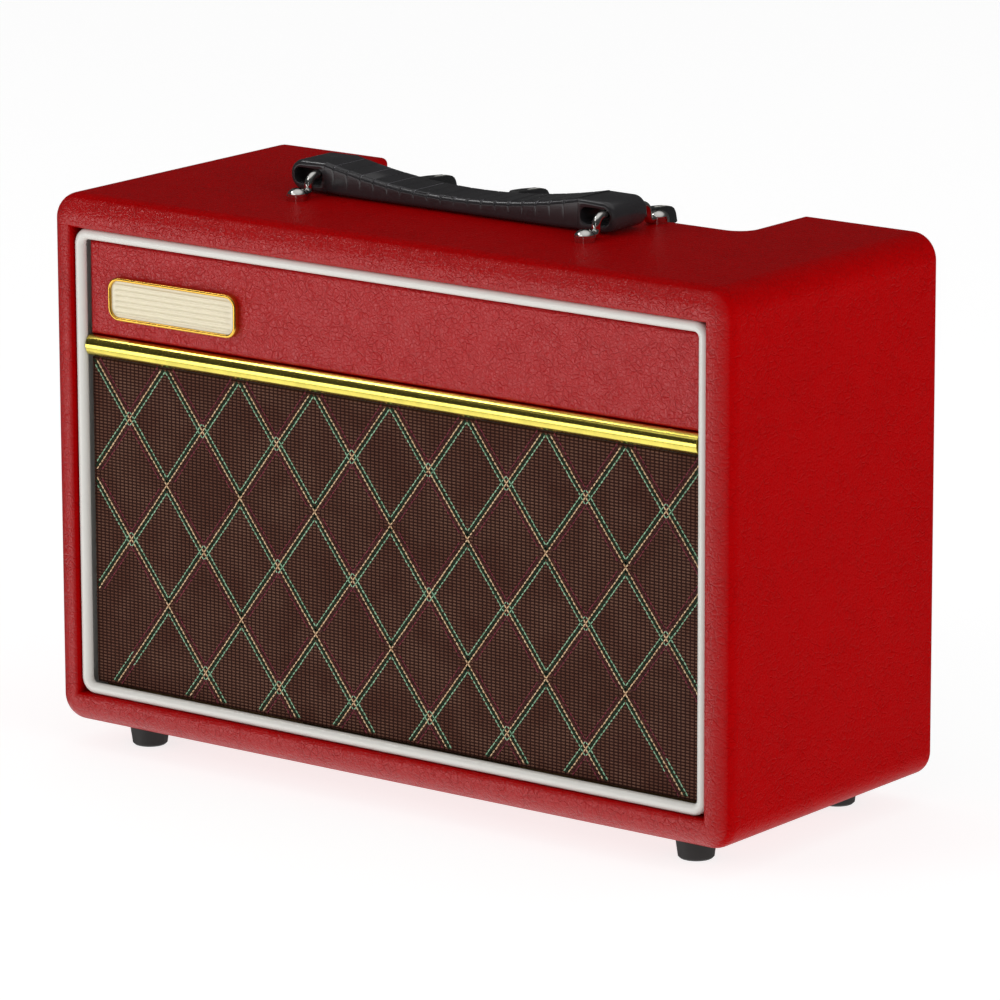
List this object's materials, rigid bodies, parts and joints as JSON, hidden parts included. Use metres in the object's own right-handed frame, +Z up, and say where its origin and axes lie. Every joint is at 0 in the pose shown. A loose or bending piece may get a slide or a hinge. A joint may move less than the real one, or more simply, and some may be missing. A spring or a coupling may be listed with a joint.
{
  "type": "guitar amplifier",
  "caption": "Small practice guitar amplifier: vinyl-covered open-back cabinet, woven grille cloth, strap handle, sunk top control panel and one loudspeaker.",
  "frame": {"origin": "on the floor under the middle of the cabinet, at the bottoms of the feet", "axes": "+Z up; -Y is the front with the grille cloth; +X is to the right for someone facing the front"},
  "size_m": [0.38, 0.16, 0.2752],
  "materials": {
    "cabinet_vinyl": "embossed vinyl, satin",
    "cabinet_board": "bare fibreboard",
    "batten_wood": "sawn softwood",
    "baffle_board": "black-stained fibreboard",
    "grille_fabric": "woven brown cloth with green, cream and maroon threads",
    "panel_vinyl": "embossed vinyl over board",
    "gold_trim": "gold-metallised, polished",
    "piping": "white vinyl",
    "badge": "cream with a gold rim",
    "bright_hardware": "chromed",
    "handle": "moulded, scale-textured",
    "spring_steel": "rolled",
    "rubber": "moulded",
    "black_screws": "black-oxide",
    "black_sheet_steel": "powder-coated",
    "panel_fascia": "satin black with pale rings",
    "black_plastic": "moulded",
    "nuts": "nickel-plated",
    "potentiometer_steel": "zinc-plated",
    "shaft_metal": "turned",
    "knob_plastic": "moulded",
    "red_lens": "translucent",
    "circuit_laminate": "glass-epoxy with solder mask",
    "capacitor_sleeve": "sleeved can",
    "heatsink_metal": "black-anodised",
    "core_laminations": "stacked and varnished",
    "winding": "taped copper winding",
    "basket_paint": "enamelled pressing",
    "plate_steel": "yellow-passivated",
    "ferrite": "sintered",
    "cone_paper": "pressed paper",
    "coil": "wound wire on a former",
    "surround": "coated cloth",
    "spider_cloth": "impregnated cloth",
    "terminal_brass": "tinned",
    "wire_insulation": "PVC",
    "back_board": "black-painted fibreboard"
  },
  "bodies": {
    "cabinet": {"top_board": "cabinet_board", "bottom_board": "cabinet_board", "left_side_board": "cabinet_board", "right_side_board": "cabinet_board", "vinyl_covering": "cabinet_vinyl", "inner_battens": "batten_wood", "baffle_board": "baffle_board", "grille_frame": "baffle_board", "grille_cloth": "grille_fabric", "upper_front_panel": "panel_vinyl", "gold_trim_bar": "gold_trim", "front_piping": "piping", "badge": "badge", "rubber_feet": "rubber", "foot_screws": "bright_hardware", "handle_loops": "bright_hardware", "handle_screws": "bright_hardware", "control_chassis": "black_sheet_steel", "control_fascia": "panel_fascia", "inside_screws": "black_screws", "jack_sockets": "black_plastic", "potentiometer_bodies": "potentiometer_steel", "panel_nuts": "nuts", "pilot_lamp": "red_lens", "overdrive_switch_body": "black_plastic", "power_switch_housing": "black_plastic", "circuit_board": "circuit_laminate", "capacitors": "capacitor_sleeve", "heatsink": "heatsink_metal", "amplifier_chip": "black_plastic", "mains_inlet": "black_plastic", "transformer_core": "core_laminations", "transformer_winding": "winding", "speaker_basket": "basket_paint", "speaker_steel_plates": "plate_steel", "speaker_magnet": "ferrite", "speaker_surround": "surround", "speaker_spider": "spider_cloth", "speaker_terminals": "terminal_brass", "speaker_bolts": "black_screws", "speaker_leads": "wire_insulation", "power_wiring": "wire_insulation", "lower_back_panel": "back_board", "upper_back_panel": "back_board", "back_panel_screws": "black_screws"},
    "gain_control": {"gain_knob": "knob_plastic", "gain_shaft": "shaft_metal"},
    "treble_control": {"treble_knob": "knob_plastic", "treble_shaft": "shaft_metal"},
    "bass_control": {"bass_knob": "knob_plastic", "bass_shaft": "shaft_metal"},
    "volume_control": {"volume_knob": "knob_plastic", "volume_shaft": "shaft_metal"},
    "overdrive_push": {"overdrive_button": "black_plastic"},
    "power_rocker_switch": {"power_rocker": "black_plastic"},
    "cone_assembly": {"speaker_cone": "cone_paper", "dust_cap": "cone_paper", "voice_coil": "coil"},
    "handle": {"handle_grip": "handle", "handle_steel_strip": "spring_steel"}
  },
  "joints": [
    {"name": "gain_turn", "type": "hinge", "parent": "cabinet", "child": "gain_control", "pos_m": [-0.074, 0.056, 0.2466], "axis": [0, 0, 1], "range_deg": [-150, 150]},
    {"name": "treble_turn", "type": "hinge", "parent": "cabinet", "child": "treble_control", "pos_m": [-0.02, 0.056, 0.2466], "axis": [0, 0, 1], "range_deg": [-150, 150]},
    {"name": "bass_turn", "type": "hinge", "parent": "cabinet", "child": "bass_control", "pos_m": [0.0157, 0.056, 0.2466], "axis": [0, 0, 1], "range_deg": [-150, 150]},
    {"name": "volume_turn", "type": "hinge", "parent": "cabinet", "child": "volume_control", "pos_m": [0.0514, 0.056, 0.2466], "axis": [0, 0, 1], "range_deg": [-150, 150]},
    {"name": "overdrive_press", "type": "slide", "parent": "cabinet", "child": "overdrive_push", "axis": [0, 0, 1], "range_m": [-0.0022, 0], "stiffness_N_per_m": 400, "springref_m": 0.001},
    {"name": "power_rock", "type": "hinge", "parent": "cabinet", "child": "power_rocker_switch", "pos_m": [0.103, 0.056, 0.2436], "axis": [1, 0, 0], "range_deg": [0, 20]},
    {"name": "cone_travel", "type": "slide", "parent": "cabinet", "child": "cone_assembly", "axis": [0, 1, 0], "range_m": [-0.003, 0.003], "stiffness_N_per_m": 2000, "deforming": ["speaker_surround", "speaker_spider"]},
    {"name": "handle_lift", "type": "slide", "parent": "cabinet", "child": "handle", "axis": [0, 0, 1], "range_m": [0, 0.0025]}
  ]
}
